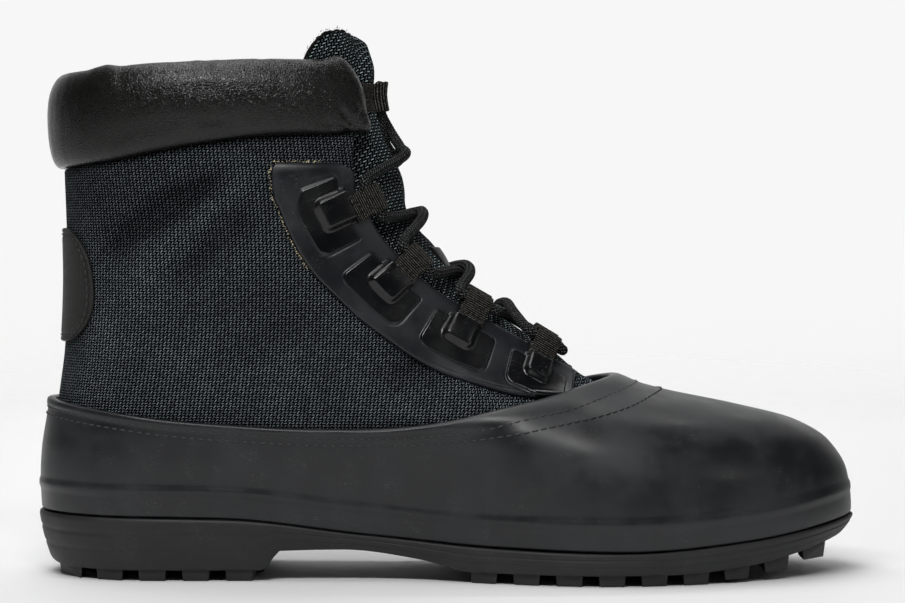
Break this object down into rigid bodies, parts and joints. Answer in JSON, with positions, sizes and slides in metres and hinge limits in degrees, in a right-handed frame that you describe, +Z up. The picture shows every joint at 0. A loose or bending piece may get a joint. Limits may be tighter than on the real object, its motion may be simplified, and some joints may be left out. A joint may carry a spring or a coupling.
{
  "type": "duck boot",
  "caption": "Ankle-high laced boot with a woven nylon shaft, padded leather collar, moulded rubber lace stays and a rubber foot shell on a lugged sole.",
  "frame": {"origin": "on the ground under the middle of the boot's box", "axes": "+X towards the toe, +Y towards the inner side, +Z up"},
  "size_m": [0.3034, 0.1095, 0.2014],
  "materials": {
    "nylon": "coarse basket-weave ballistic nylon, black with a faint blue-grey sheen",
    "collar_leather": "soft fine-grained black leather over foam, satin",
    "patch_leather": "black grained leather",
    "stay_rubber": "moulded satin black rubber",
    "shell_rubber": "moulded satin black rubber",
    "sole_rubber": "matte black rubber",
    "webbing": "black ribbed grosgrain webbing",
    "cord": "round braided black lace",
    "footbed": "dark grey cloth-topped foam"
  },
  "bodies": {
    "root": {"collar": "collar_leather", "heel_patch": "patch_leather", "insole": "footbed", "lace": "cord", "lace_loop_inner_1": "webbing", "lace_loop_inner_2": "webbing", "lace_loop_inner_3": "webbing", "lace_loop_inner_4": "webbing", "lace_loop_outer_1": "webbing", "lace_loop_outer_2": "webbing", "lace_loop_outer_3": "webbing", "lace_loop_outer_4": "webbing", "lace_stay_inner": "stay_rubber", "lace_stay_outer": "stay_rubber", "outsole": "sole_rubber", "rubber_shell": "shell_rubber", "tongue": "nylon", "tongue_keeper": "webbing", "upper": "nylon"}
  },
  "joints": []
}
